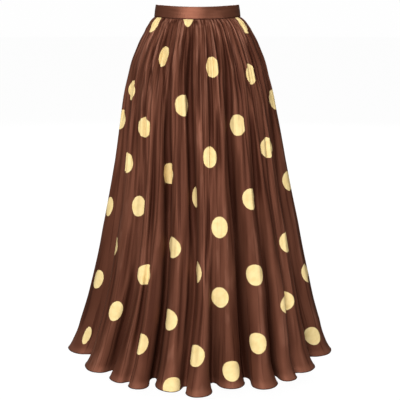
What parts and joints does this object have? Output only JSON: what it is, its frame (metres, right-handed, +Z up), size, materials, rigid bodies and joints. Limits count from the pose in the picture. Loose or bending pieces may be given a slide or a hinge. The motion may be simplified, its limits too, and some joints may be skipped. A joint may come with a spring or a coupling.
{
  "type": "pleated maxi skirt",
  "caption": "Ankle-length skirt pleated into a plain waistband, hollow as worn, with deep folds to a wavy hem and a concealed zip with a pull tab at the centre back.",
  "frame": {"origin": "centre of the waist, halfway up the waistband at the side seams, where the wearer's waist holds the skirt", "axes": "+Z up along the body, -Y to the front of the skirt, +X to the right of the front view, which is the wearer's left"},
  "size_m": [0.7623, 0.69, 0.9996],
  "materials": {
    "satin": "soft satin, chocolate brown with pale yellow dots",
    "zip_tape_cloth": "matt woven tape",
    "lacquered_metal": "brown lacquered zinc"
  },
  "bodies": {
    "garment": {"waistband": "satin", "front_panel": "satin", "back_panel_left": "satin", "back_panel_right": "satin", "zip_tape": "zip_tape_cloth", "zip_slider": "lacquered_metal"},
    "pull_tab": {"zip_pull": "lacquered_metal"}
  },
  "joints": [
    {"name": "pull_tab_hinge", "type": "hinge", "parent": "garment", "child": "pull_tab", "pos_m": [0, 0.09246, 0.00452], "axis": [1, 0, 0], "range_deg": [0, 150]}
  ]
}
